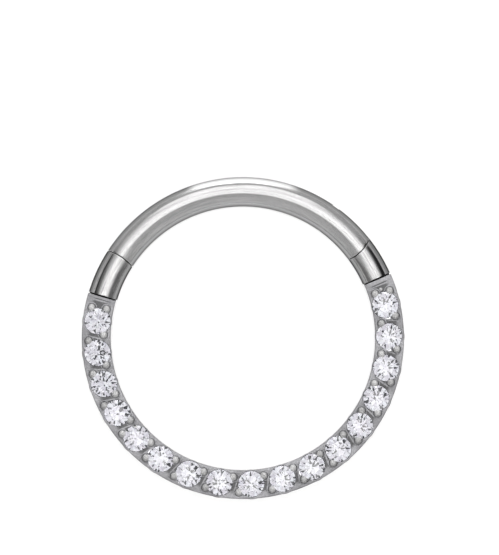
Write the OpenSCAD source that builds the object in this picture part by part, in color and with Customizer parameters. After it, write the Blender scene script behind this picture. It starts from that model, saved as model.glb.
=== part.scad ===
// Hinged segment ring for a piercing, with a row of round stones bead set in its front face.
// The ring lies on its back with the stones facing +Z. The origin is the ring's centre on the
// surface that it lies on. Angles run round the ring in degrees, from +X towards +Y.

/* [Ring] */
// Inside diameter of the ring
inner_d = 10; // [9.8:0.1:12]
// Diameter of the round wire of the segment and the two sleeves
wire_d = 1.12; // [1.1:0.02:1.2]
// Width of the open seam between two pieces of metal
seam = 0.03; // [0.02:0.01:0.05]

/* [Jewelled arc] */
// Width of the band between two stones, measured across the ring
band_w = 1.09; // [1.08:0.01:1.14]
// How far the middle of the band lies outside the middle line of the wire
band_out = 0.02; // [0:0.01:0.03]
// Height of the band from its flat back to its front face
band_h = 1.06; // [1:0.02:1.1]
// Bevel along the two front edges of the band
front_bevel = 0.03; // [0.02:0.005:0.03]
// Radius of the rounded back edges of the band
back_round = 0.25; // [0.1:0.05:0.3]
// Where the band ends against the catch sleeve
catch_end_deg = 163.8; // [163:0.2:165]
// Where the band ends against the hinge sleeve
hinge_end_deg = 383.4; // [382:0.2:384]
// Radius of the round core that runs on from the band into each sleeve
core_r = 0.32; // [0.25:0.01:0.36]
// Length of that core
core_len = 0.7; // [0.4:0.1:0.9]

/* [Stones] */
// Number of stones in the row
stone_count = 17; // [12:1:17]
// Where the first stone sits, next to the catch sleeve
first_stone_deg = 173.4; // [172:0.2:174]
// Where the last stone sits, next to the hinge sleeve
last_stone_deg = 373.1; // [372:0.1:374]
// Diameter of a stone over its girdle
stone_d = 1; // [0.9:0.01:1.02]
// Diameter of the table as a share of the stone's diameter
table_share = 0.57; // [0.53:0.01:0.62]
// Height of the crown as a share of the stone's diameter
crown_share = 0.15; // [0.12:0.01:0.16]
// Depth of the pavilion as a share of the stone's diameter
pavilion_share = 0.43; // [0.4:0.01:0.45]
// Thickness of the girdle
girdle_t = 0.03; // [0.02:0.01:0.04]
// Gap between a stone and its seat
stone_gap = 0.02; // [0.01:0.01:0.03]
// How far each stone is turned on its own axis against the one before it
stone_turn_deg = 17; // [0:1:44]

/* [Beads] */
// Radius of a bead of metal that holds a stone
bead_r = 0.145; // [0.12:0.005:0.15]
// Distance from the middle of a stone to the middle of its beads
bead_reach = 0.58; // [0.57:0.01:0.6]
// How far a bead stands aside from the line through the stones
bead_turn_deg = 30; // [26:1:33]
// Width of the scooped ring round a bead
scoop_w = 0.04; // [0.03:0.01:0.05]
// Depth of the scooped ring below the front face
scoop_depth = 0.09; // [0.05:0.01:0.12]

/* [Hinge and catch] */
// Where the pivot of the hinge lies round the ring
pivot_deg = 50.4; // [48:0.2:52]
// How far the pivot lies inside the middle line of the wire
pivot_inset = 0.03; // [0:0.01:0.05]
// Radius of the round seam between the segment and the hinge sleeve
knuckle_r = 1.35; // [1.25:0.05:1.45]
// Thickness of the tongue that the hinge pin goes through
tongue_t = 0.3; // [0.3:0.02:0.44]
// Radius of the round tip of the tongue, and half of its width
tongue_r = 0.42; // [0.36:0.01:0.44]
// Gap between the tongue and the walls of its slot
slot_gap = 0.02; // [0.01:0.01:0.04]
// Radius of the hinge pin
pin_r = 0.2; // [0.15:0.01:0.22]
// Gap round the pin in the tongue, where it turns
pin_play = 0.02; // [0.01:0.005:0.03]
// Gap round the pin in the two ears, where it is held
pin_hold = 0.01; // [0.005:0.005:0.015]
// Metal left over the end of the pin at the front of the ring
pin_cover = 0.18; // [0.12:0.02:0.24]
// Where the free end of the segment closes against the catch sleeve
catch_deg = 146.5; // [145:0.5:148]
// Radius of the slightly domed end of the catch sleeve
dome_r = 2; // [1.8:0.1:3]

/* [Hidden] */
$fa = 5;
$fs = 0.03;

steel = "#a9a9ab";
sleeve_steel = "#8f8f91";
cast_steel = "#9c9c9e";
crystal = "#e9e9f4";

mid_r = (inner_d + wire_d) / 2;
wire_r = wire_d / 2;
mid_z = wire_r;

stone_step = (last_stone_deg - first_stone_deg) / (stone_count - 1);
stone_r = stone_d / 2;
table_r = stone_r * table_share;
crown_h = stone_d * crown_share;
pavilion_h = stone_d * pavilion_share;
girdle_facets = 16;
facet_deg = 360 / girdle_facets;
girdle_drop = 0.02;
girdle_top = band_h - girdle_drop;
girdle_low = girdle_top - girdle_t;
seat_r = stone_r + stone_gap;
low_facet_share = 0.25;

// A cup is the round wall of metal that stands round a stone, a little wider than the band.
cup_stand_out = 0.02;
cup_r = band_w / 2 + cup_stand_out;
cup_foot_share = 0.35;
cup_shoulder_share = 0.7;
cup_foot_z = band_h * cup_foot_share;
cup_shoulder_z = band_h * cup_shoulder_share;

spread = 8;
pivot_r = mid_r - pivot_inset;
neck_deg = pivot_deg - spread;
neck_root = 0.45;
neck_len = knuckle_r + neck_root;
pin_low = 0.06;
pin_top = wire_d - pin_cover;
core_deg = core_len / mid_r * 180 / PI;
core_root_deg = 1;
bore_deg = (core_len + seam) / mid_r * 180 / PI;
seam_deg = seam / mid_r * 180 / PI;
pass = 1;

function stone_deg(i) = first_stone_deg + i * stone_step;
function on_circle(r, deg, z = 0) = [r * cos(deg), r * sin(deg), z];
function arc_points(centre, r, from, to, steps) =
    [for (i = [0:steps]) centre + r * [cos(from + (to - from) * i / steps),
                                       sin(from + (to - from) * i / steps)]];

// A bead is named by its stone, by the side towards the next stone (1) or the one before (-1),
// and by the edge it stands at: the outer (1) or the inner (-1) edge of the band.
BEADS = concat(
    [for (i = [0:stone_count - 1]) [i, 1, -1]],
    [for (i = [0:stone_count - 1]) [i, -1, 1]],
    [[0, -1, -1], [stone_count - 1, 1, 1]]
);

function two_digits(n) = n < 10 ? str("0", n) : str(n);
function stone_name(i) = str("stone_", two_digits(i + 1));

// A length of round wire or bore that follows the ring
module ring_arc(r, from, to) {
    translate([0, 0, mid_z])
        rotate([0, 0, from])
            rotate_extrude(angle = to - from)
                translate([mid_r, 0]) circle(r);
}

// Puts what follows on the middle line of the ring, with its X axis pointing outwards
module at_ring(deg) {
    rotate([0, 0, deg]) translate([mid_r, 0, 0]) children();
}

module at_stone(i) {
    at_ring(stone_deg(i)) children();
}

module at_bead(bead) {
    at_stone(bead[0])
        translate([bead[2] * bead_reach * sin(bead_turn_deg),
                   bead[1] * bead_reach * cos(bead_turn_deg), 0])
            children();
}

module at_pivot() {
    translate(on_circle(pivot_r, pivot_deg)) rotate([0, 0, neck_deg]) children();
}

// Outline of the band across the ring: flat back, round back edges, bevelled front edges
module band_outline() {
    half = band_w / 2;
    polygon(concat(
        arc_points([half - back_round, back_round], back_round, -90, 0, 4),
        [[half, band_h - front_bevel], [half - front_bevel, band_h],
         [front_bevel - half, band_h], [-half, band_h - front_bevel]],
        arc_points([back_round - half, back_round], back_round, 180, 270, 4)
    ));
}

module band() {
    rotate([0, 0, catch_end_deg])
        rotate_extrude(angle = hinge_end_deg - catch_end_deg)
            translate([mid_r + band_out, 0]) band_outline();
}

// Round wall round a stone: it grows out of the band and ends in the same front bevel
module cup() {
    translate([band_out, 0, 0]) rotate_extrude()
        polygon([[0, cup_foot_z], [cup_r - 2 * cup_stand_out, cup_foot_z], [cup_r, cup_shoulder_z],
                 [cup_r, band_h - front_bevel], [cup_r - front_bevel, band_h], [0, band_h]]);
}

// Space that a stone takes up with its gap: the cone below, the girdle and the crown above
module stone_space() {
    low = girdle_low - stone_gap;
    high = girdle_top + stone_gap;
    crown_slope = crown_h / (stone_r - table_r);
    rotate_extrude()
        polygon([[0, low - pavilion_h * seat_r / stone_r], [seat_r, low], [seat_r, high],
                 [table_r, high + (seat_r - table_r) * crown_slope],
                 [table_r, band_h + pass], [0, band_h + pass]]);
}

module scoop() {
    translate([0, 0, band_h - scoop_depth]) cylinder(h = pass, r = bead_r + scoop_w);
}

module bead() {
    translate([0, 0, girdle_top]) sphere(bead_r);
}

module jewelled_arc() color(cast_steel) {
    difference() {
        union() {
            difference() {
                union() {
                    band();
                    for (i = [0:stone_count - 1]) at_stone(i) cup();
                }
                for (i = [0:stone_count - 1])
                    at_stone(i) translate([0, 0, girdle_low]) cylinder(h = pass, r = seat_r);
                for (bead = BEADS) at_bead(bead) scoop();
            }
            for (bead = BEADS) at_bead(bead) bead();
        }
        for (i = [0:stone_count - 1]) at_stone(i) stone_space();
    }
    ring_arc(core_r, catch_end_deg - core_deg, catch_end_deg + core_root_deg);
    ring_arc(core_r, hinge_end_deg - core_root_deg, hinge_end_deg + core_deg);
}

// Short tube between the band and the free end of the segment, with a slightly domed end
module catch_sleeve() color(sleeve_steel) {
    difference() {
        intersection() {
            ring_arc(wire_r, catch_deg - spread, catch_end_deg - seam_deg);
            at_ring(catch_deg) translate([0, dome_r, -pass]) cylinder(h = wire_d + 2 * pass, r = dome_r);
        }
        ring_arc(core_r + stone_gap, catch_end_deg - bore_deg, catch_end_deg);
    }
}

// Short tube between the band and the hinge, with the tongue that the pin goes through
module hinge_sleeve() color(sleeve_steel) {
    difference() {
        union() {
            difference() {
                ring_arc(wire_r, hinge_end_deg - 360 + seam_deg, pivot_deg);
                translate(on_circle(pivot_r, pivot_deg, -pass))
                    cylinder(h = wire_d + 2 * pass, r = knuckle_r + seam);
            }
            at_pivot() {
                translate([-tongue_r, -neck_len, mid_z - tongue_t / 2])
                    cube([2 * tongue_r, neck_len, tongue_t]);
                translate([0, 0, mid_z - tongue_t / 2]) cylinder(h = tongue_t, r = tongue_r);
            }
        }
        ring_arc(core_r + stone_gap, hinge_end_deg - 360, hinge_end_deg - 360 + bore_deg);
        at_pivot() cylinder(h = wire_d, r = pin_r + pin_play);
    }
}

module hinge_pin() color(steel) {
    at_pivot() translate([0, 0, pin_low]) cylinder(h = pin_top - pin_low, r = pin_r);
}

// The bar that swings open: plain round wire, with a slot and two ears at the hinge
module segment() color(steel) {
    slot_t = tongue_t + 2 * slot_gap;
    slot_foot = tongue_r + slot_gap;
    difference() {
        ring_arc(wire_r, pivot_deg - 3 * spread, catch_deg + spread);
        at_pivot() difference() {
            translate([-2 * knuckle_r, -4 * knuckle_r, -pass])
                cube([4 * knuckle_r, 4 * knuckle_r, wire_d + 2 * pass]);
            translate([0, 0, -2 * pass]) cylinder(h = wire_d + 4 * pass, r = knuckle_r);
        }
        at_ring(catch_deg) translate([0, dome_r, -pass])
            cylinder(h = wire_d + 2 * pass, r = dome_r + seam);
        at_pivot() {
            translate([-wire_d, -2 * knuckle_r, mid_z - slot_t / 2])
                cube([2 * wire_d, 2 * knuckle_r + slot_foot, slot_t]);
            translate([0, 0, -pass]) cylinder(h = pass + pin_top + pin_hold, r = pin_r + pin_hold);
        }
    }
}

// Round brilliant: an eight sided table, star, kite and girdle facets, and a pointed pavilion
module stone() color(crystal) {
    star_r = (table_r * cos(facet_deg) + stone_r) / 2;
    star_z = crown_h * (stone_r - star_r * cos(facet_deg)) / (stone_r - table_r);
    low_r = stone_r * low_facet_share;
    low_z = -pavilion_h * (1 - low_r * cos(facet_deg) / stone_r);
    table = 0;
    star = 8;
    girdle = 16;
    under = 32;
    low = 48;
    culet = 56;
    points = concat(
        [for (k = [0:7]) on_circle(table_r, 2 * k * facet_deg, girdle_top + crown_h)],
        [for (k = [0:7]) on_circle(star_r, (2 * k + 1) * facet_deg, girdle_top + star_z)],
        [for (k = [0:15]) on_circle(stone_r, k * facet_deg, girdle_top)],
        [for (k = [0:15]) on_circle(stone_r, k * facet_deg, girdle_low)],
        [for (k = [0:7]) on_circle(low_r, (2 * k + 1) * facet_deg, girdle_low + low_z)],
        [[0, 0, girdle_low - pavilion_h]]
    );
    faces = concat(
        [[for (k = [7:-1:0]) table + k]],
        [for (k = [0:7]) [table + k, table + (k + 1) % 8, star + k]],
        [for (k = [0:7]) [table + k, star + k, girdle + 2 * k]],
        [for (k = [0:7]) [table + k, girdle + 2 * k, star + (k + 7) % 8]],
        [for (k = [0:7]) [star + k, girdle + 2 * k + 1, girdle + 2 * k]],
        [for (k = [0:7]) [star + k, girdle + (2 * k + 2) % 16, girdle + 2 * k + 1]],
        [for (k = [0:15]) [girdle + k, girdle + (k + 1) % 16, under + (k + 1) % 16, under + k]],
        [for (k = [0:7]) [low + k, under + 2 * k, under + 2 * k + 1]],
        [for (k = [0:7]) [low + k, under + 2 * k + 1, under + (2 * k + 2) % 16]],
        [for (k = [0:7]) [culet, under + 2 * k, low + k]],
        [for (k = [0:7]) [culet, low + (k + 7) % 8, under + 2 * k]]
    );
    polyhedron(points, faces);
}

jewelled_arc();
catch_sleeve();
hinge_sleeve();
hinge_pin();
segment();
for (i = [0:stone_count - 1])
    at_stone(i) rotate([0, 0, i * stone_turn_deg]) stone();
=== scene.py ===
import math

import bmesh
import bpy
from mathutils import Matrix, Vector


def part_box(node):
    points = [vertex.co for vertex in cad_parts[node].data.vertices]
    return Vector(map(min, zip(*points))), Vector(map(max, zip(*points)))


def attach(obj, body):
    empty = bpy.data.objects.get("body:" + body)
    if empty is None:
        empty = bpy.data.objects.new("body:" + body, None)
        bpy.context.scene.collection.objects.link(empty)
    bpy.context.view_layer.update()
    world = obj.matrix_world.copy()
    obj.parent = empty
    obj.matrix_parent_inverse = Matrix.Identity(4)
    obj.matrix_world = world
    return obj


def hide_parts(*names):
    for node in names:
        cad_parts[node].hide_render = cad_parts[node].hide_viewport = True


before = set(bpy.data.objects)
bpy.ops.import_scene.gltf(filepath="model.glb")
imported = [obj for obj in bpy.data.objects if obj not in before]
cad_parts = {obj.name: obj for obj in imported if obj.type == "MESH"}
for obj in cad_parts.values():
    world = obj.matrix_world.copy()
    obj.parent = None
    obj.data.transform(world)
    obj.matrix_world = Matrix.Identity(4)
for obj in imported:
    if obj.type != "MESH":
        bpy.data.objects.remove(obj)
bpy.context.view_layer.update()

# Sizes are in millimetres, as in the part's source. Meshes are scaled to metres when they are done.
MM = 0.001

# The round wire and the ring that it is bent to
INNER_R = 5.0
WIRE_R = (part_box("segment")[1].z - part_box("segment")[0].z) / MM / 2
MID_R = INNER_R + WIRE_R
MID_Z = WIRE_R

# The open seams at the two ends of the bar and at the two ends of the band
SEAM = 0.036
BAND_SEAM_DEG = math.degrees(0.06 / MID_R)

# The cast band and the round core at each end of it, which is rooted in the band and held in a sleeve
BAND_HALF = 0.545
BAND_R = MID_R + 0.02
BAND_H = 1.06
FRONT_BEVEL = 0.03
BACK_ROUND = 0.25
END_BEVEL = 0.012
CATCH_END_DEG = 163.8
HINGE_END_DEG = 383.4
CORE_R = 0.32
CORE_DEG = math.degrees(0.7 / MID_R)
CORE_ROOT_DEG = 1.0
CUP_R = 0.565
CUP_FOOT_Z = 0.37
CUP_SHOULDER_Z = 0.74

# The stones and their seats
STONE_COUNT = 17
STONE_R = 0.5
STONE_GAP = 0.02
CROWN_GAP = 0.005
TABLE_R = STONE_R * 0.57
CROWN_H = 0.15
PAVILION_H = 0.43
GIRDLE_TOP = BAND_H - 0.02
GIRDLE_LOW = GIRDLE_TOP - 0.03
SEAT_R = STONE_R + 0.008
SEAT_LIP = 0.006
SEAT_LIP_LOW = BAND_H - 0.008
SEAT_LIP_TOP = BAND_H + 0.002
SEAT_REACH = SEAT_R + 0.004

# The beads that hold the stones. Each is a low dome, drawn out to a tongue on the stone's side.
BEAD_R = 0.15
BEAD_TOP = BAND_H + 0.028
BEAD_RIM = BAND_H - 0.01
BEAD_ROOT = BEAD_RIM - 0.1
BEAD_CURVE = 2.5
BEAD_RINGS = 12
BEAD_TONGUE = 1.35
BEAD_BACK = 0.9
BEAD_REACH = 0.58
BEAD_TURN = math.radians(30)

# The scooped rings round the beads and the thin ridges that the graver leaves between two scoops. The curves
# are steps outwards and up from the scoop's edge, at its floor and at the ridge's top.
SCOOP_R = BEAD_R + 0.01
SCOOP_SHIFT = 0.015
SCOOP_FLOOR = BAND_H - 0.014
SCOOP_FOOT_CURVE = ((-0.02, 0.0), (-0.006, 0.012))
SCOOP_LIP_CURVE = ((0.006, -0.008), (0.014, 0.001))
RIDGE_W = 0.055
RIDGE_TOP = BAND_H - 0.002

# The shallow channel between the band's two rails, the plain ledge at each end of it, and the tool mark across
# each ledge: the band's end, the way from it, how far away, and how wide
CHANNEL_HALF = 0.45
CHANNEL_DEPTH = 0.012
CATCH_LEDGE_DEG = 1.9
HINGE_LEDGE_DEG = 2.5
TOOL_MARKS = ((CATCH_END_DEG, 1, 0.09, 0.035), (HINGE_END_DEG, -1, 0.15, 0.05))
TOOL_MARK_DEPTH = 0.025

# A small button of metal between the last two beads, next to the hinge sleeve
NUB_DEG = 379.43
NUB_R = 0.075
NUB_TOP = BAND_H + 0.015

# How the rims of the button and of the ridges are rounded: steps inwards and down from the rim and the top
NUB_CURVE = ((0.0, 0.03), (0.01, 0.012), (0.03, 0.003))
RIDGE_CURVE = ((0.0, 0.02), (0.006, 0.005), (0.015, 0.0))

# The hinge
PIVOT_DEG = 50.4
PIVOT_R = MID_R - 0.03
NECK_DEG = PIVOT_DEG - 8
KNUCKLE_R = 1.35
NECK_LEN = KNUCKLE_R + 0.45
TONGUE_LOW = MID_Z - 0.15
TONGUE_TOP = MID_Z + 0.15
TONGUE_TIP_R = 0.64
TONGUE_DEGS = (PIVOT_DEG - 20, PIVOT_DEG + 8)
FLUSH = 0.004
SLOT_GAP = 0.02
PIN_R = 0.2
PIN_LOW = 0.06
PIN_TOP = 2 * WIRE_R - 0.18
PIN_RIM = 0.012
PIN_HOLD = 0.01

# The catch: the sleeve's end is a round dome across the wire, and the bar's end is dished to match
CATCH_DEG = 146.5
DOME_R = 2.0
DOME_MID_R = math.hypot(MID_R, DOME_R)
DOME_MID_DEG = CATCH_DEG + math.degrees(math.atan(DOME_R / MID_R))

# The rounded rims of the tubes, and the low step inside each seam that closes it to the eye. The step is
# coloured near black, as painted shade of the seam.
RIM = 0.008
STEP_R = WIRE_R - 0.04
STEP_GAP = 0.006
STEP_DEG = math.degrees(STEP_GAP / MID_R)

# Depths under the wire's surface at which its finish changes: past its rims, and past the low steps
RIM_DEPTH = RIM + 0.012
STEP_DEPTH = WIRE_R - STEP_R + 0.01

# How finely the forms are drawn: sides of a round form, and steps along the ring
WIRE_SIDES = 96
CORE_SIDES = 40
SEAT_SIDES = 72
SCOOP_SIDES = 48
BEAD_SIDES = 32
PIN_SIDES = 64
RAIL_STEPS = 440
CHANNEL_STEPS = 400
BAR_STEPS = 220
TONGUE_STEPS = 60
CATCH_STEPS = 40
HINGE_STEPS = 36
CORE_STEPS = 8

# Points nearer than this are one point, and an edge that turns by more than this many degrees stays sharp
WELD = 1e-5
SHARP_DEG = 32

# Reach of the cutting tools: under the ring, over it, over the band's face, across it, into it, past a joint
UNDER = -1.0
OVER = 2.0
ABOVE = 0.5
ACROSS = 1.0
ROOT = 0.2
LAP = 0.1

# A face counts as front or back while its normal leans this much up or down
FACES_UP = 0.3

# The photograph's frame, the ring's middle in it and its scale
IMAGE_W, IMAGE_H = 499, 555
RING_PX = (242.9, 337.9)
PX_PER_MM = 26.27
CAMERA_H = 400.0


def spot(r, deg, z=0.0):
    a = math.radians(deg)
    return Vector((r * math.cos(a), r * math.sin(a), z))


# Camera

def look_down():
    """Camera straight over the ring, placed so that the ring lands on the photograph's pixels."""
    data = bpy.data.cameras.new("camera")
    camera = bpy.data.objects.new("camera", data)
    bpy.context.scene.collection.objects.link(camera)
    aside = (IMAGE_W / 2 - RING_PX[0]) / PX_PER_MM
    above = (RING_PX[1] - IMAGE_H / 2) / PX_PER_MM
    camera.location = Vector((aside, above, CAMERA_H)) * MM
    data.sensor_width = 36
    data.lens = data.sensor_width * (CAMERA_H - MID_Z) * PX_PER_MM / IMAGE_H
    data.clip_start = 0.01
    data.clip_end = 10
    bpy.context.scene.camera = camera


# Modelling tools

def polish_normals(obj):
    """Smooth shading that keeps sharp edges, led by the large faces."""
    obj.data.shade_smooth()
    obj.data.set_sharp_from_angle(angle=math.radians(SHARP_DEG))
    even = obj.modifiers.new("even shading", "WEIGHTED_NORMAL")
    even.keep_sharp = True
    even.weight = 60


def face_out(bm):
    """Turns the faces of a closed mesh outwards."""
    bmesh.ops.recalc_face_normals(bm, faces=bm.faces)
    if bm.calc_volume(signed=True) < 0:
        bmesh.ops.reverse_faces(bm, faces=bm.faces)


def to_object(bm, name):
    mesh = bpy.data.meshes.new(name)
    bm.to_mesh(mesh)
    bm.free()
    obj = bpy.data.objects.new(name, mesh)
    bpy.context.scene.collection.objects.link(obj)
    return obj


def take(obj):
    """The object's mesh as a bmesh; the object itself is used up."""
    bm = bmesh.new()
    bm.from_mesh(obj.data)
    bpy.data.objects.remove(obj)
    return bm


def carve(obj, tool_bm, operation):
    """Cuts the tool out of the object, welds it on, or keeps what the two share."""
    tool = to_object(tool_bm, "tool")
    step = obj.modifiers.new("carve", "BOOLEAN")
    step.operation = operation
    step.solver = "MANIFOLD"
    step.object = tool
    graph = bpy.context.evaluated_depsgraph_get()
    made = bpy.data.meshes.new_from_object(obj.evaluated_get(graph))
    obj.modifiers.clear()
    obj.data = made
    bpy.data.objects.remove(tool)


def wire_finish(face):
    """0 for the wire's outside, 1 for the low steps in the seams, which are painted dark as the seams' shade, 2
    for inner faces that an open ring shows.
    """
    centre = face.center
    depth = WIRE_R - math.hypot(centre.xy.length - MID_R, centre.z - MID_Z)
    if depth < RIM_DEPTH:
        return 0
    return 1 if depth < STEP_DEPTH else 2


def finish_piece(obj, body, materials, nodes, which=None):
    """Cleans the piece and gives it its place in the frame and its finishes, each told by a face's place."""
    bm = bmesh.new()
    bm.from_mesh(obj.data)
    bmesh.ops.dissolve_degenerate(bm, edges=bm.edges, dist=WELD)
    bm.to_mesh(obj.data)
    bm.free()
    obj.data.materials.clear()
    for material in materials:
        obj.data.materials.append(material)
    if which:
        for face in obj.data.polygons:
            face.material_index = which(face)
    obj.data.transform(Matrix.Scale(MM, 4))
    obj.data.name = obj.name
    polish_normals(obj)
    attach(obj, body)
    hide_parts(*nodes)


def turned(outline, sides, matrix=Matrix()):
    """A solid of revolution about its own Z axis, from its outline of (radius, height) points."""
    bm = bmesh.new()
    verts = [bm.verts.new((r, 0, z)) for r, z in outline]
    edges = [bm.edges.new(pair) for pair in zip(verts, verts[1:])]
    bmesh.ops.spin(bm, geom=verts + edges, cent=(0, 0, 0), axis=(0, 0, 1), angle=2 * math.pi,
                   steps=sides, use_merge=True, use_duplicate=False)
    bmesh.ops.remove_doubles(bm, verts=bm.verts, dist=WELD)
    face_out(bm)
    bmesh.ops.transform(bm, matrix=matrix, verts=bm.verts)
    return bm


def rod(radius, low, high, sides, matrix, rim=0.0):
    """Round rod along its own Z axis, with its rims cut back by this much."""
    outline = [(0, low), (radius, low), (radius, high), (0, high)]
    if rim:
        outline[1:3] = [(radius - rim, low), (radius, low + rim), (radius, high - rim), (radius - rim, high)]
    return turned(outline, sides, matrix)


def block(low, high, matrix):
    bm = bmesh.new()
    bmesh.ops.create_cube(bm, size=1)
    low, high = Vector(low), Vector(high)
    place = matrix @ Matrix.Translation((low + high) / 2) @ Matrix.Diagonal((*(high - low), 1))
    bmesh.ops.transform(bm, matrix=place, verts=bm.verts)
    return bm


def join(parts):
    """One bmesh from several, which are used up."""
    whole = bmesh.new()
    for part in parts:
        mesh = bpy.data.meshes.new("part")
        part.to_mesh(mesh)
        part.free()
        whole.from_mesh(mesh)
        bpy.data.meshes.remove(mesh)
    return whole


def round_end(centre_r, centre_deg, curve_r):
    """Angle at which a ring of radius r meets a round cut, on the side nearer to +X."""
    def deg(r):
        cosine = (r * r + centre_r * centre_r - curve_r * curve_r) / (2 * r * centre_r)
        return centre_deg - math.degrees(math.acos(cosine))
    return deg


def straight_end(deg):
    return lambda r: deg


def ring_tube(radius, start, end, steps, sides, rim=0.0):
    """Closed round wire that follows the ring between two end cuts, with a rounded rim at each end. It is spun
    over one radian, and each point then goes to its share of the way between the cuts."""
    bm = bmesh.new()
    stand = Matrix.Translation((MID_R, 0, MID_Z)) @ Matrix.Rotation(math.pi / 2, 4, "X")
    bmesh.ops.create_circle(bm, cap_ends=False, segments=sides, radius=radius, matrix=stand)
    bmesh.ops.spin(bm, geom=bm.verts[:] + bm.edges[:], cent=(0, 0, 0), axis=(0, 0, 1), angle=1.0,
                   steps=steps, use_merge=False, use_duplicate=False)
    share = {v: math.atan2(v.co.y, v.co.x) for v in bm.verts}
    rims = []
    for wanted in (0.0, 1.0):
        loop = [v for v in bm.verts if abs(share[v] - wanted) < 1e-4]
        edges = [e for e in bm.edges if all(v in loop for v in e.verts)]
        bmesh.ops.contextual_create(bm, geom=edges)
        above = {round(v.co.xy.length, 4): v for v in loop if v.co.z > MID_Z + WELD}
        below = {round(v.co.xy.length, 4): v for v in loop if v.co.z < MID_Z - WELD}
        for r in sorted(above):
            if r in below:
                bmesh.ops.connect_verts(bm, verts=[above[r], below[r]])
        rims += edges
    for v, t in share.items():
        r = v.co.xy.length
        v.co = spot(r, start(r) + t * (end(r) - start(r)), v.co.z)
    face_out(bm)
    if rim:
        bmesh.ops.bevel(bm, geom=rims, offset=rim, offset_type="OFFSET", segments=3, profile=0.5,
                        affect="EDGES", material=-1, clamp_overlap=True)
    return bm


def ring_bar(r_low, r_high, z_low, z_high, start, end, steps, rounding=()):
    """Solid bar along the ring with a rectangular section. Rounding gives (top or not, radius, segments)."""
    bm = bmesh.new()
    middle = Vector(((r_low + r_high) / 2, 0, (z_low + z_high) / 2))
    stand = Matrix.Translation(middle) @ Matrix.Rotation(math.pi / 2, 4, "X")
    stand = stand @ Matrix.Diagonal(((r_high - r_low) / 2, (z_high - z_low) / 2, 1, 1))
    bmesh.ops.create_grid(bm, x_segments=1, y_segments=1, size=1, matrix=stand)
    for top, radius, segments in rounding:
        corners = [v for v in bm.verts if (v.co.z > middle.z) == top]
        bmesh.ops.bevel(bm, geom=corners, offset=radius, offset_type="OFFSET", segments=segments, profile=0.5,
                        affect="VERTICES", material=-1, clamp_overlap=True)
    bmesh.ops.delete(bm, geom=bm.faces[:], context="FACES_ONLY")
    bmesh.ops.rotate(bm, verts=bm.verts, cent=(0, 0, 0), matrix=Matrix.Rotation(math.radians(start), 3, "Z"))
    bmesh.ops.spin(bm, geom=bm.verts[:] + bm.edges[:], cent=(0, 0, 0), axis=(0, 0, 1),
                   angle=math.radians(end - start), steps=steps, use_merge=False, use_duplicate=False)
    ends = [e for e in bm.edges if e.is_boundary]
    bmesh.ops.holes_fill(bm, edges=ends, sides=0)
    face_out(bm)
    return bm, ends


# Where things stand on the ring

def band_deg(point):
    """A point's angle, counted from 90 to 450 degrees, because the band runs on past 360."""
    deg = math.degrees(math.atan2(point.y, point.x)) % 360
    return deg if deg > 90 else deg + 360


def stone_degs():
    """The stones' places round the ring, read from the CAD solids."""
    boxes = [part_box(f"stone_{i + 1:02d}") for i in range(STONE_COUNT)]
    return [band_deg((low + high) / 2) for low, high in boxes]


STONE_DEGS = stone_degs()


def at_ring(deg):
    """A place on the wire's middle line, with its own X axis outwards and its Y axis along the ring."""
    return Matrix.Translation(spot(MID_R, deg)) @ Matrix.Rotation(math.radians(deg), 4, "Z")


def bead_aside(side, edge):
    """From a stone's middle to one of its beads: before or after it, at the inner or at the outer edge."""
    return Vector((edge * BEAD_REACH * math.sin(BEAD_TURN), side * BEAD_REACH * math.cos(BEAD_TURN), 0))


def bead_places():
    """One bead at the inner edge after each stone, one at the outer edge before it, and two more at the ends.
    Each place's own X axis points to the stone that the bead holds."""
    beads = [(i, 1, -1) for i in range(STONE_COUNT)] + [(i, -1, 1) for i in range(STONE_COUNT)]
    beads += [(0, -1, -1), (STONE_COUNT - 1, 1, 1)]
    for i, side, edge in beads:
        aside = bead_aside(side, edge)
        towards = Matrix.Rotation(math.atan2(-aside.y, -aside.x), 4, "Z")
        yield at_ring(STONE_DEGS[i]) @ Matrix.Translation(aside) @ towards


AT_PIVOT = Matrix.Translation(spot(PIVOT_R, PIVOT_DEG)) @ Matrix.Rotation(math.radians(NECK_DEG), 4, "Z")


# The jewelled band

def band_rail():
    """The band before its face is cut: a rounded bar along the ring whose sides swell at each stone."""
    bm, ends = ring_bar(BAND_R - BAND_HALF, BAND_R + BAND_HALF, 0, BAND_H, CATCH_END_DEG, HINGE_END_DEG,
                        RAIL_STEPS, ((True, FRONT_BEVEL, 4), (False, BACK_ROUND, 6)))
    swell(bm)
    bmesh.ops.bevel(bm, geom=ends, offset=END_BEVEL, offset_type="OFFSET", segments=2, profile=0.5,
                    affect="EDGES", material=-1, clamp_overlap=True)
    face_out(bm)
    return bm


def swell(bm):
    """Pushes the side walls out to the round cup of the nearest stone."""
    for v in bm.verts:
        r = v.co.xy.length
        deg = band_deg(v.co)
        along = min(abs(math.radians(deg - d)) * MID_R for d in STONE_DEGS)
        if along >= CUP_R or abs(r - BAND_R) < BAND_HALF / 2:
            continue
        rise = min(max((v.co.z - CUP_FOOT_Z) / (CUP_SHOULDER_Z - CUP_FOOT_Z), 0), 1)
        half = max(BAND_HALF, math.sqrt(CUP_R ** 2 - along ** 2))
        push = (half - BAND_HALF) * rise * rise * (3 - 2 * rise)
        v.co.xy *= (r + math.copysign(push, r - BAND_R)) / r


def seat_cutter():
    """Round seat down to the stone's girdle, with a thin lip at the face."""
    lip_r = SEAT_R + SEAT_LIP
    return [(0, GIRDLE_LOW), (SEAT_R, GIRDLE_LOW), (SEAT_R, SEAT_LIP_LOW), (lip_r, SEAT_LIP_TOP),
            (lip_r, OVER), (0, OVER)]


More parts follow.
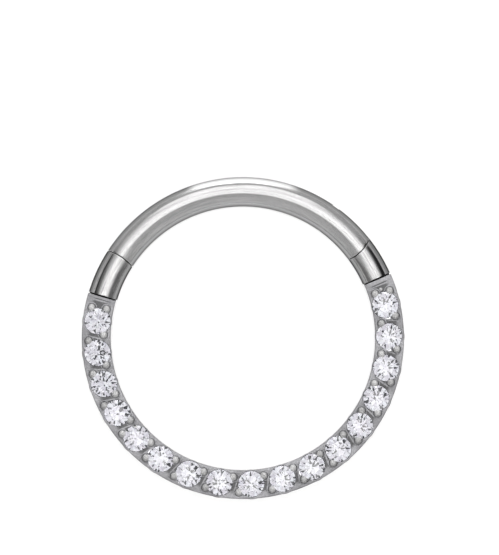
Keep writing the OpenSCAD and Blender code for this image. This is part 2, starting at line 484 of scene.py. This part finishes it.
def scoop_cutter():
    """The round scoop that a bead stands in."""
    outline = [(0, SCOOP_FLOOR)]
    outline += [(SCOOP_R + out, SCOOP_FLOOR + up) for out, up in SCOOP_FOOT_CURVE]
    outline += [(SCOOP_R + out, RIDGE_TOP + up) for out, up in SCOOP_LIP_CURVE]
    return outline + [(outline[-1][0], OVER), (0, OVER)]


def stone_space():
    """The stone's own outline with its gap, which also trims the beads to the crown."""
    low = GIRDLE_LOW - STONE_GAP
    high = GIRDLE_TOP + CROWN_GAP
    slope = CROWN_H / (STONE_R - TABLE_R)
    return [(0, low - PAVILION_H * SEAT_R / STONE_R), (SEAT_R, low), (SEAT_R, high),
            (TABLE_R, high + (SEAT_R - TABLE_R) * slope), (TABLE_R, OVER), (0, OVER)]


def bead(matrix):
    """A stubby bead with a low dome, as a beading tool leaves it, with its metal pushed over the stone."""
    outline = [(0, BEAD_ROOT), (BEAD_R, BEAD_ROOT)]
    for i in range(BEAD_RINGS + 1):
        share = 1 - i / BEAD_RINGS
        outline.append((BEAD_R * share, BEAD_RIM + (BEAD_TOP - BEAD_RIM) * (1 - share ** BEAD_CURVE)))
    bm = turned(outline, BEAD_SIDES)
    for v in bm.verts:
        v.co.x *= BEAD_TONGUE if v.co.x > 0 else BEAD_BACK
    bmesh.ops.transform(bm, matrix=matrix, verts=bm.verts)
    return bm


def button(radius, top, curve):
    """Outline of a low button that is rooted in the band. The curve rounds its rim."""
    rim = [(radius - inward, top - down) for inward, down in curve]
    return [(0, BAND_H - ROOT), (radius, BAND_H - ROOT)] + rim + [(0, top)]


def ridge_links():
    """Straight ridges from each bead's ridge to the next stone's. The two make an S between the stones."""
    reach = SCOOP_R + RIDGE_W / 2
    for i in range(STONE_COUNT - 1):
        ends = [at_ring(STONE_DEGS[stone]) @ (bead_aside(side, edge) * (1 - SCOOP_SHIFT / BEAD_REACH))
                for stone, side, edge in ((i, 1, -1), (i + 1, -1, 1))]
        gap = ends[1] - ends[0]
        touch = Matrix.Rotation(math.acos(2 * reach / gap.length), 3, "Z") @ gap.normalized() * reach
        start, stop = ends[0] + touch, ends[1] - touch
        along = (stop - start).to_track_quat("Y", "Z").to_matrix().to_4x4()
        yield block((-RIDGE_W / 2, 0, BAND_H - ROOT), (RIDGE_W / 2, (stop - start).length, RIDGE_TOP),
                    Matrix.Translation(start) @ along)


def ledge_marks():
    """Fine tool marks across the plain ledge at each end of the band."""
    for end, way, away, width in TOOL_MARKS:
        near, far = sorted((way * away, way * (away + width)))
        yield block((-ACROSS, near, BAND_H - TOOL_MARK_DEPTH), (ACROSS, far, BAND_H + ABOVE), at_ring(end))


def core(start, end, radius):
    return ring_tube(radius, straight_end(start), straight_end(end), CORE_STEPS, CORE_SIDES)


def band_finish(face):
    """0 for the front face, 1 for the polished sides and back, 2 for the bright seats under the stones."""
    centre = face.center
    if face.normal.z > -FACES_UP and centre.z < BAND_H:
        if any((centre.xy - spot(MID_R, d).xy).length < SEAT_REACH for d in STONE_DEGS):
            return 2
    return 0 if face.normal.z > FACES_UP else 1


def make_band(materials):
    band = to_object(band_rail(), "cast_band")
    beads = list(bead_places())
    seats = [at_ring(d) for d in STONE_DEGS]
    scoops = [m @ Matrix.Translation((SCOOP_SHIFT, 0, 0)) for m in beads]
    channel, _ = ring_bar(BAND_R - CHANNEL_HALF, BAND_R + CHANNEL_HALF, BAND_H - CHANNEL_DEPTH,
                          BAND_H + ABOVE, CATCH_END_DEG + CATCH_LEDGE_DEG, HINGE_END_DEG - HINGE_LEDGE_DEG,
                          CHANNEL_STEPS)
    ridge = button(SCOOP_R + RIDGE_W, RIDGE_TOP, RIDGE_CURVE)
    nub = turned(button(NUB_R, NUB_TOP, NUB_CURVE), BEAD_SIDES, at_ring(NUB_DEG))
    carve(band, channel, "DIFFERENCE")
    carve(band, join(ledge_marks()), "DIFFERENCE")
    carve(band, join([turned(ridge, SCOOP_SIDES, m) for m in scoops]), "UNION")
    carve(band, join(ridge_links()), "UNION")
    carve(band, join([turned(scoop_cutter(), SCOOP_SIDES, m) for m in scoops]), "DIFFERENCE")
    carve(band, join([turned(seat_cutter(), SEAT_SIDES, m) for m in seats]), "DIFFERENCE")
    carve(band, join([bead(m) for m in beads] + [nub]), "UNION")
    carve(band, join([turned(stone_space(), SEAT_SIDES, m) for m in seats]), "DIFFERENCE")
    carve(band, join([core(CATCH_END_DEG - CORE_DEG, CATCH_END_DEG + CORE_ROOT_DEG, CORE_R),
                      core(HINGE_END_DEG - CORE_ROOT_DEG, HINGE_END_DEG + CORE_DEG, CORE_R)]), "UNION")
    finish_piece(band, "ring", materials, ["jewelled_arc"], band_finish)


# The sleeves, the bar and the pin

def make_catch_sleeve(materials):
    domed = round_end(DOME_MID_R, DOME_MID_DEG, DOME_R)
    stepped = round_end(DOME_MID_R, DOME_MID_DEG, DOME_R + SEAM - STEP_GAP)
    end_deg = CATCH_END_DEG - BAND_SEAM_DEG
    tube = ring_tube(WIRE_R, domed, straight_end(end_deg), CATCH_STEPS, WIRE_SIDES, RIM)
    step = ring_tube(STEP_R, stepped, straight_end(CATCH_END_DEG - STEP_DEG), CATCH_STEPS, WIRE_SIDES)
    sleeve = to_object(tube, "catch_tube")
    carve(sleeve, step, "UNION")
    carve(sleeve, core(end_deg - CORE_DEG, CATCH_END_DEG + CORE_ROOT_DEG, CORE_R + STONE_GAP), "DIFFERENCE")
    finish_piece(sleeve, "ring", materials, ["catch_sleeve"], wire_finish)


def hinge_tongue():
    """A flat slice of the wire itself, which fills the bar's slot to its edges, with a round tip at the pin."""
    start, end = (straight_end(d) for d in TONGUE_DEGS)
    tongue = to_object(ring_tube(WIRE_R - FLUSH, start, end, TONGUE_STEPS, WIRE_SIDES), "tongue")
    plate = to_object(block((-ACROSS, -NECK_LEN, TONGUE_LOW), (ACROSS, 0, TONGUE_TOP), AT_PIVOT), "plate")
    carve(plate, rod(TONGUE_TIP_R, TONGUE_LOW, TONGUE_TOP, WIRE_SIDES, AT_PIVOT), "UNION")
    carve(tongue, take(plate), "INTERSECT")
    return take(tongue)


def make_hinge_sleeve(materials):
    band_end = HINGE_END_DEG - 360
    start_deg = band_end + BAND_SEAM_DEG
    hollow = round_end(PIVOT_R, PIVOT_DEG, KNUCKLE_R + SEAM)
    stepped = round_end(PIVOT_R, PIVOT_DEG, KNUCKLE_R + STEP_GAP)
    tube = ring_tube(WIRE_R, straight_end(start_deg), hollow, HINGE_STEPS, WIRE_SIDES, RIM)
    step = ring_tube(STEP_R, straight_end(band_end + STEP_DEG), stepped, HINGE_STEPS, WIRE_SIDES)
    sleeve = to_object(tube, "hinge_tube")
    carve(sleeve, step, "UNION")
    carve(sleeve, hinge_tongue(), "UNION")
    carve(sleeve, core(band_end - CORE_ROOT_DEG, start_deg + CORE_DEG, CORE_R + STONE_GAP), "DIFFERENCE")
    carve(sleeve, rod(PIN_R + SLOT_GAP, UNDER, OVER, PIN_SIDES, AT_PIVOT), "DIFFERENCE")
    finish_piece(sleeve, "ring", materials, ["hinge_sleeve"], wire_finish)


def hinge_slot():
    """Room for the tongue, closed and open: along the neck, round the pin, and out through the outer side."""
    low, high = TONGUE_LOW - SLOT_GAP, TONGUE_TOP + SLOT_GAP
    reach = TONGUE_TIP_R + SLOT_GAP
    slot = to_object(block((-2 * WIRE_R, -2 * KNUCKLE_R, low), (2 * WIRE_R, 0, high), AT_PIVOT), "slot")
    carve(slot, block((0, -LAP, low), (2 * WIRE_R, reach, high), AT_PIVOT), "UNION")
    carve(slot, rod(reach, low, high, WIRE_SIDES, AT_PIVOT), "UNION")
    return take(slot)


def make_segment(materials):
    knuckle = round_end(PIVOT_R, PIVOT_DEG, KNUCKLE_R)
    dished = round_end(DOME_MID_R, DOME_MID_DEG, DOME_R + SEAM)
    bar = to_object(ring_tube(WIRE_R, knuckle, dished, BAR_STEPS, WIRE_SIDES, RIM), "segment_bar")
    carve(bar, hinge_slot(), "DIFFERENCE")
    carve(bar, rod(PIN_R + PIN_HOLD, UNDER, PIN_TOP + PIN_HOLD, PIN_SIDES, AT_PIVOT), "DIFFERENCE")
    finish_piece(bar, "bar", materials, ["segment"], wire_finish)


def make_pin(material):
    pin = to_object(rod(PIN_R, PIN_LOW, PIN_TOP, PIN_SIDES, AT_PIVOT, PIN_RIM), "pin")
    finish_piece(pin, "bar", [material], ["hinge_pin"])


# Materials. Drawing, grinding and polishing leave fine marks along the ring, many times as long as wide. The
# real ones are a few thousandths of a millimetre wide and too fine to show, so they are drawn 0.05 to 0.06 mm
# wide. The noise that makes them lies mostly between the two levels given here.
MARK_STRETCH = 20
NOISE_LEVELS = (0.3, 0.7)
ROUGHNESS_SPREAD = 0.25

# The grain that the mould leaves on the cast metal, and the broad clouds of its skin. The real grain is finer,
# and is drawn as coarse as it needs to be to show.
GRAIN_MM = 1 / 22
GRAIN_DEPTH_MM = 0.004
CLOUD_MM = 0.625

# Soft steps. Each has its start and its end, and the amounts there.
# Darker recesses: partly cast skin, partly painted shade.
SKIN_AND_SHADE_BELOW = (BAND_H - 0.004, BAND_H - 0.01, 0, 1)
SKIN_AND_SHADE_BETWEEN_RAILS = (0.4, 0.22, 0, 1)
# Lighter bead tops: partly rubbed metal, partly a painted highlight.
RUBBED_AND_HIGHLIGHT_ABOVE = (BAND_H + 0.001, BAND_H + 0.008, 0, 1)
GRAIN_SHADE = (*NOISE_LEVELS, 0.82, 1.15)
CLOUD_SHADE = (0.35, 0.65, 0.85, 1.12)

# The floor. Its card glows evenly, and brighter in two painted pools of light: behind the ring's top, which the
# bar mirrors, and within the ring, over the ring's own shadow.
FLOOR_HALF = 400
BEHIND_TOP = (0.925, 0.965, 0, 1)
BEHIND_RING = (6.15, 6.6, 0, 1)
BEHIND_PAINTED_LIGHT = (0, 1, 0.56, 3.0)
INSIDE_PAINTED_LIGHT = (INNER_R, INNER_R - 0.2, 0.56, 0.95)


def tint(hex_code):
    """Linear colour of an sRGB hex code."""
    parts = [int(hex_code[i:i + 2], 16) / 255 for i in (1, 3, 5)]
    return tuple(c / 12.92 if c <= 0.04045 else ((c + 0.055) / 1.055) ** 2.4 for c in parts) + (1.0,)


def add(tree, kind, settings=None, links=None):
    """Adds a node, sets its properties and sockets, and links its inputs."""
    node = tree.nodes.new(kind)
    for key, value in (settings or {}).items():
        if isinstance(key, int) or key in node.inputs:
            node.inputs[key].default_value = value
        else:
            setattr(node, key, value)
    for key, socket in (links or {}).items():
        tree.links.new(node.inputs[key], socket)
    return node


def new_material(name):
    material = bpy.data.materials.new(name)
    material.use_nodes = True
    material.node_tree.nodes.clear()
    return material, material.node_tree


def place_mm(tree):
    """Object coordinates in millimetres, their three parts, and how far a point lies from the ring's axis."""
    coordinates = add(tree, "ShaderNodeTexCoord").outputs["Object"]
    place = add(tree, "ShaderNodeVectorMath", {"operation": "SCALE", "Scale": 1 / MM},
                {0: coordinates}).outputs[0]
    axes = add(tree, "ShaderNodeSeparateXYZ", links={"Vector": place}).outputs
    flat = add(tree, "ShaderNodeCombineXYZ", links={"X": axes["X"], "Y": axes["Y"]}).outputs[0]
    radius = add(tree, "ShaderNodeVectorMath", {"operation": "LENGTH"}, {0: flat}).outputs["Value"]
    return place, axes, radius


def soft_steps(tree, *steps):
    """The product of several soft steps, each given with the measure that it follows."""
    product = None
    for measure, (start, end, first, last) in steps:
        step = add(tree, "ShaderNodeMapRange",
                   {"interpolation_type": "SMOOTHSTEP", "From Min": start, "From Max": end,
                    "To Min": first, "To Max": last}, {"Value": measure}).outputs["Result"]
        if product is not None:
            step = add(tree, "ShaderNodeMath", {"operation": "MULTIPLY"}, {0: product, 1: step}).outputs[0]
        product = step
    return product


def steel(name, colour, edge, roughness, mark_mm, mark_depth_mm):
    """Steel with fine marks along the ring. Edge is its tint where it is seen at a flat angle."""
    material, tree = new_material(name)
    _, axes, radius = place_mm(tree)
    along = add(tree, "ShaderNodeMath", {"operation": "ADD"}, {0: axes["X"], 1: axes["Y"]}).outputs[0]
    along = add(tree, "ShaderNodeMath", {"operation": "MULTIPLY", 1: 1 / MARK_STRETCH}, {0: along}).outputs[0]
    across = add(tree, "ShaderNodeCombineXYZ", links={"X": radius, "Y": axes["Z"], "Z": along}).outputs[0]
    marks = add(tree, "ShaderNodeTexNoise", {"Scale": 1 / mark_mm, "Detail": 2.0},
                {"Vector": across}).outputs[0]
    rough = add(tree, "ShaderNodeMapRange",
                {"From Min": NOISE_LEVELS[0], "From Max": NOISE_LEVELS[1],
                 "To Min": roughness * (1 - ROUGHNESS_SPREAD), "To Max": roughness * (1 + ROUGHNESS_SPREAD)},
                {"Value": marks}).outputs["Result"]
    bump = add(tree, "ShaderNodeBump", {"Distance": mark_depth_mm * MM}, {"Height": marks}).outputs[0]
    shader = add(tree, "ShaderNodeBsdfPrincipled",
                 {"Base Color": tint(colour), "Metallic": 1.0, "Specular Tint": tint(edge)},
                 {"Roughness": rough, "Normal": bump})
    add(tree, "ShaderNodeOutputMaterial", links={"Surface": shader.outputs["BSDF"]})
    return material


def cast_steel():
    """Cast steel after tumbling. Its recesses are darker, partly the cast surface that tumbling leaves there
    and partly painted shade; its beads are lighter, partly burnished and partly a painted highlight.
    """
    material, tree = new_material("stainless steel, cast and tumbled")
    place, axes, radius = place_mm(tree)
    off = add(tree, "ShaderNodeMath", {"operation": "SUBTRACT", 1: MID_R}, {0: radius}).outputs[0]
    off = add(tree, "ShaderNodeMath", {"operation": "ABSOLUTE"}, {0: off}).outputs[0]
    # Darker colour in the recesses between the rails: partly cast skin, partly painted shade.
    skin_and_shade = soft_steps(tree, (axes["Z"], SKIN_AND_SHADE_BELOW), (off, SKIN_AND_SHADE_BETWEEN_RAILS))
    colour = add(tree, "ShaderNodeMix", {"data_type": "RGBA", "A": tint("#79797B"), "B": tint("#4E4E4F")},
                 {"Factor": skin_and_shade}).outputs["Result"]
    # Lighter colour on the bead tops: partly rubbed metal, partly a painted highlight.
    rubbed_and_highlight = soft_steps(tree, (axes["Z"], RUBBED_AND_HIGHLIGHT_ABOVE))
    colour = add(tree, "ShaderNodeMix", {"data_type": "RGBA", "B": tint("#8E8E8E")},
                 {"Factor": rubbed_and_highlight, "A": colour}).outputs["Result"]
    grain = add(tree, "ShaderNodeTexNoise", {"Scale": 1 / GRAIN_MM, "Detail": 3.0, "Roughness": 0.6},
                {"Vector": place}).outputs[0]
    cloud = add(tree, "ShaderNodeTexNoise", {"Scale": 1 / CLOUD_MM, "Detail": 1.0},
                {"Vector": place}).outputs[0]
    shade = soft_steps(tree, (grain, GRAIN_SHADE), (cloud, CLOUD_SHADE))
    colour = add(tree, "ShaderNodeVectorMath", {"operation": "SCALE"}, {0: colour, "Scale": shade}).outputs[0]
    bump = add(tree, "ShaderNodeBump", {"Strength": 0.25, "Distance": GRAIN_DEPTH_MM * MM}, {"Height": grain})
    shader = add(tree, "ShaderNodeBsdfPrincipled",
                 {"Metallic": 1.0, "Roughness": 0.48, "Specular Tint": tint("#A0A0A0")},
                 {"Base Color": colour, "Normal": bump.outputs[0]})
    add(tree, "ShaderNodeOutputMaterial", links={"Surface": shader.outputs["BSDF"]})
    return material


def zirconia():
    """Clear stone. Its flat facets bend the light strongly and show it as small bright and dark fields."""
    material, tree = new_material("cubic zirconia, brilliant cut and polished")
    shader = add(tree, "ShaderNodeBsdfPrincipled",
                 {"Base Color": tint("#BABAC0"), "Roughness": 0.0, "IOR": 2.15, "Transmission Weight": 1.0,
                  "Specular Tint": tint("#9D9D9D")})
    add(tree, "ShaderNodeOutputMaterial", links={"Surface": shader.outputs["BSDF"]})
    return material


def make_floor():
    """Smooth white card that glows, which keeps it white. It glows brighter in two painted pools of light:
    behind the ring's top, where the bar mirrors it, and within the ring, where it lifts the ring's own shadow.
    """
    bm = bmesh.new()
    bmesh.ops.create_grid(bm, x_segments=1, y_segments=1, size=FLOOR_HALF)
    floor = to_object(bm, "floor")
    floor.data.transform(Matrix.Scale(MM, 4))
    material, tree = new_material("white card")
    place, _, radius = place_mm(tree)
    way = add(tree, "ShaderNodeVectorMath", {"operation": "NORMALIZE"}, {0: place}).outputs[0]
    upper = add(tree, "ShaderNodeSeparateXYZ", links={"Vector": way}).outputs["Y"]
    # A painted pool of light behind the ring's top, which the bar mirrors.
    behind = soft_steps(tree, (upper, BEHIND_TOP), (radius, BEHIND_RING))
    behind = soft_steps(tree, (behind, BEHIND_PAINTED_LIGHT))
    # Painted light inside the ring, which lifts the ring's own shadow there.
    painted_light_inside = soft_steps(tree, (radius, INSIDE_PAINTED_LIGHT))
    even_glow_and_painted_light = add(tree, "ShaderNodeMath", {"operation": "MAXIMUM"}, {0: behind, 1: painted_light_inside}).outputs[0]
    shader = add(tree, "ShaderNodeBsdfPrincipled",
                 {"Base Color": tint("#8C8C8C"), "Roughness": 0.12, "Specular IOR Level": 0.66,
                  "Emission Color": tint("#FFFFFF")}, {"Emission Strength": even_glow_and_painted_light})
    add(tree, "ShaderNodeOutputMaterial", links={"Surface": shader.outputs["BSDF"]})
    floor.data.materials.append(material)


# Light. A place in the studio is told by its direction: to the right, up the picture, and high over the floor.
# The bar and the sleeves mirror different wedges of the studio, and each wedge is lit in its own way.
MIDDLE_SHIFT = 0.035
WEDGE_TURN = 0.061
WEDGE_SLOPE = 1.428
IN_SLEEVES = (-0.012, 0.012, 0, 1)
IN_BAR = (0.012, -0.012, 0, 1)

# The soft box over the ring: how it is shifted and leans, how it fades to its sides, its lower border, its foot
# as the bar and as the sleeves see it, and the darker rib across it
BOX_SHIFT = 0.21
BOX_LEAN = -0.29
BOX_FADE = (0.2, 0.85, 2.5, 0)
BOX_RISE = 0.24
BOX_BORDER = (0.53, 0.63, 0, 1)
BAR_FOOT_SLOPE = -0.8
BAR_FOOT = (-0.36, -0.12, 0, 1)
SLEEVE_FOOT_SLOPE = 0.4
SLEEVE_FOOT = (-0.30, -0.04, 0, 1)
RIB_SLOPE = -0.5
RIB_AT = 0.36
RIB = (0.028, 0.07, 0.62, 1)

# The bright panel low down behind the ring, and the paler one over it that the bar's outer side mirrors
BACK_FADE = (0.05, 0.5, 4.5, 0)
BACK_START = (0.6, 0.8, 0, 1)
BACK_TOP = (0.38, 0.18, 0, 1)
FAR_START = (0.1, 0.3, 0, 1)
FAR_FADE = (0.1, 0.5, 0.85, 0.72)

# The grey fill in front, darker at its sides for the sleeves, and the floor's sweep all round, low down
FILL_START = (0.12, -0.12, 0, 1)
FILL_FADE = (-0.3, -0.8, 0.85, 1.1)
BAR_FILL = 0.85
SLEEVE_FILL = (0.5, 0.76, 0.85, 0.34)
SWEEP_LEAN = 0.06
SWEEP_TOP = (0.24, 0.12, 0, 1)
SWEEP_FADE = (0.3, 0.6, 0.85, 0.66)
DIMMEST = 0.04

# Small lights and shades all over the studio, about one degree across and faintly coloured. What a stone lets
# through meets them alone, without the panels, and so the stones sparkle.
SPARKS = 60.0
SPARK_CONTRAST = (0.15, 0.45, 0.06, 2.02)
SPARK_STRENGTH = (1.35, 1.95)
DARK_SPARKS = (0.2, 0.24, 0.12, 1)
FIRE = 0.05


def make_light():
    """A long soft box over the ring, bright panels behind it, and a grey fill in front of it."""
    world = bpy.data.worlds.new("studio")
    bpy.context.scene.world = world
    world.use_nodes = True
    tree = world.node_tree
    tree.nodes.clear()
    direction = add(tree, "ShaderNodeTexCoord").outputs["Generated"]
    right, up, high = add(tree, "ShaderNodeSeparateXYZ", links={"Vector": direction}).outputs

    aside = add(tree, "ShaderNodeMath", {"operation": "ADD", 1: MIDDLE_SHIFT}, {0: right}).outputs[0]
    over = add(tree, "ShaderNodeMath", {"operation": "ADD", 1: BOX_SHIFT}, {0: right}).outputs[0]
    over = add(tree, "ShaderNodeMath", {"operation": "MULTIPLY_ADD", 1: BOX_LEAN},
               {0: high, 2: over}).outputs[0]
    turn = add(tree, "ShaderNodeMath", {"operation": "MULTIPLY_ADD", 1: WEDGE_TURN},
               {0: up, 2: right}).outputs[0]
    aside, over, turn = (add(tree, "ShaderNodeMath", {"operation": "ABSOLUTE"}, {0: way}).outputs[0]
                         for way in (aside, over, turn))
    slopes = ((aside, BOX_RISE, high), (aside, RIB_SLOPE, up), (aside, BAR_FOOT_SLOPE, up),
              (aside, SLEEVE_FOOT_SLOPE, up), (up, WEDGE_SLOPE, turn), (up, -WEDGE_SLOPE, turn),
              (right, SWEEP_LEAN, high))
    rise, rib, bar_dip, sleeve_dip, front_wedge, back_wedge, lean = (
        add(tree, "ShaderNodeMath", {"operation": "MULTIPLY_ADD", 1: slope}, {0: measure, 2: onto}).outputs[0]
        for measure, slope, onto in slopes)
    rib = add(tree, "ShaderNodeMath", {"operation": "SUBTRACT", 1: RIB_AT}, {0: rib}).outputs[0]
    rib = add(tree, "ShaderNodeMath", {"operation": "ABSOLUTE"}, {0: rib}).outputs[0]

    in_sleeves = soft_steps(tree, (front_wedge, IN_SLEEVES))
    foot = add(tree, "ShaderNodeMix", {"data_type": "FLOAT"},
               {"Factor": in_sleeves, "A": soft_steps(tree, (bar_dip, BAR_FOOT)),
                "B": soft_steps(tree, (sleeve_dip, SLEEVE_FOOT))}).outputs["Result"]
    wall = add(tree, "ShaderNodeMix", {"data_type": "FLOAT", "A": BAR_FILL},
               {"Factor": in_sleeves, "B": soft_steps(tree, (aside, SLEEVE_FILL))}).outputs["Result"]
    box = soft_steps(tree, (over, BOX_FADE), (rise, BOX_BORDER), (rib, RIB))
    box = add(tree, "ShaderNodeMath", {"operation": "MULTIPLY"}, {0: box, 1: foot}).outputs[0]
    fill = soft_steps(tree, (up, FILL_START), (up, FILL_FADE))
    fill = add(tree, "ShaderNodeMath", {"operation": "MULTIPLY"}, {0: fill, 1: wall}).outputs[0]
    back = soft_steps(tree, (aside, BACK_FADE), (up, BACK_START), (high, BACK_TOP))
    far = soft_steps(tree, (back_wedge, IN_BAR), (up, FAR_START), (aside, FAR_FADE))
    sweep = soft_steps(tree, (lean, SWEEP_TOP), (up, SWEEP_FADE))
    level = box
    for panel in (back, far, fill, sweep):
        level = add(tree, "ShaderNodeMath", {"operation": "MAXIMUM"}, {0: level, 1: panel}).outputs[0]
    level = add(tree, "ShaderNodeMath", {"operation": "ADD", 1: DIMMEST}, {0: level}).outputs[0]

    cell = add(tree, "ShaderNodeTexVoronoi", {"Scale": SPARKS}, {"Vector": direction}).outputs["Color"]
    dice = add(tree, "ShaderNodeSeparateColor", links={"Color": cell}).outputs
    contrast = soft_steps(tree, (dice["Red"], SPARK_CONTRAST))
    level = add(tree, "ShaderNodeMath", {"operation": "MULTIPLY"}, {0: level, 1: contrast}).outputs[0]
    spark = add(tree, "ShaderNodeMapRange", {"To Min": SPARK_STRENGTH[0], "To Max": SPARK_STRENGTH[1]},
                {"Value": dice["Green"]}).outputs["Result"]
    lit = soft_steps(tree, (dice["Red"], DARK_SPARKS))
    spark = add(tree, "ShaderNodeMath", {"operation": "MULTIPLY"}, {0: spark, 1: lit}).outputs[0]
    through = add(tree, "ShaderNodeLightPath").outputs["Is Transmission Ray"]
    level = add(tree, "ShaderNodeMix", {"data_type": "FLOAT"},
                {"Factor": through, "A": level, "B": spark}).outputs["Result"]
    fire = add(tree, "ShaderNodeMix", {"data_type": "RGBA", "Factor": FIRE, "A": tint("#FFFFFF")},
               {"B": cell}).outputs["Result"]
    sky = add(tree, "ShaderNodeBackground", links={"Color": fire, "Strength": level})
    add(tree, "ShaderNodeOutputWorld", links={"Surface": sky.outputs["Background"]})


look_down()
make_floor()
make_light()
bpy.context.scene.view_settings.view_transform = "Standard"

# The bar's wire: drawn, then polished. It gives a soft mirror whose highlights blur a little along the ring.
POLISHED = steel("stainless steel wire, polished", "#8F8F8F", "#909090", 0.16, 0.05, 0.0006)

# The sleeves: buffed to a mirror. They give sharp, dark reflections that go darker towards the tube's edges.
MIRROR = steel("stainless steel tube, mirror polished", "#8B8B8B", "#000000", 0.1, 0.05, 0.0003)

# The inside of the seams: left as turned, and coloured near black as painted shade of the seams. It shows as a
# thin, dull, dark line.
TURNED_SEAM_SHADE = steel("stainless steel, as turned, in the joints", "#121212", "#121212", 0.6, 0.05, 0.003)

# The hinge's and the catch's inner faces: ground flat. They show grey and even, with fine scratches.
GROUND = steel("stainless steel, ground flat", "#707070", "#808080", 0.3, 0.05, 0.002)

# The band's face: cast and tumbled. It gives a satin grey, cloudy and fine-grained, with brighter beads, partly
# rubbed and partly a painted highlight, and darker recesses, partly cast skin and partly painted shade.
CAST = cast_steel()

# The band's sides and back: cast, then polished. They give a pale sheen with soft highlights.
SIDES = steel("stainless steel, cast and polished", "#C8C8CA", "#A0A0A0", 0.24, 0.06, 0.001)

# The seats: cut bright. They throw the light back up through the stones.
SEATS = steel("stainless steel, bright cut", "#C7C7CB", "#FFFFFF", 0.3, 0.05, 0.001)
ZIRCONIA = zirconia()

make_band([CAST, SIDES, SEATS])
make_catch_sleeve([MIRROR, TURNED_SEAM_SHADE, GROUND])
make_hinge_sleeve([MIRROR, TURNED_SEAM_SHADE, GROUND])
make_segment([POLISHED, TURNED_SEAM_SHADE, GROUND])
make_pin(POLISHED)

for i in range(STONE_COUNT):
    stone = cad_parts[f"stone_{i + 1:02d}"]
    stone.data.materials.clear()
    stone.data.materials.append(ZIRCONIA)
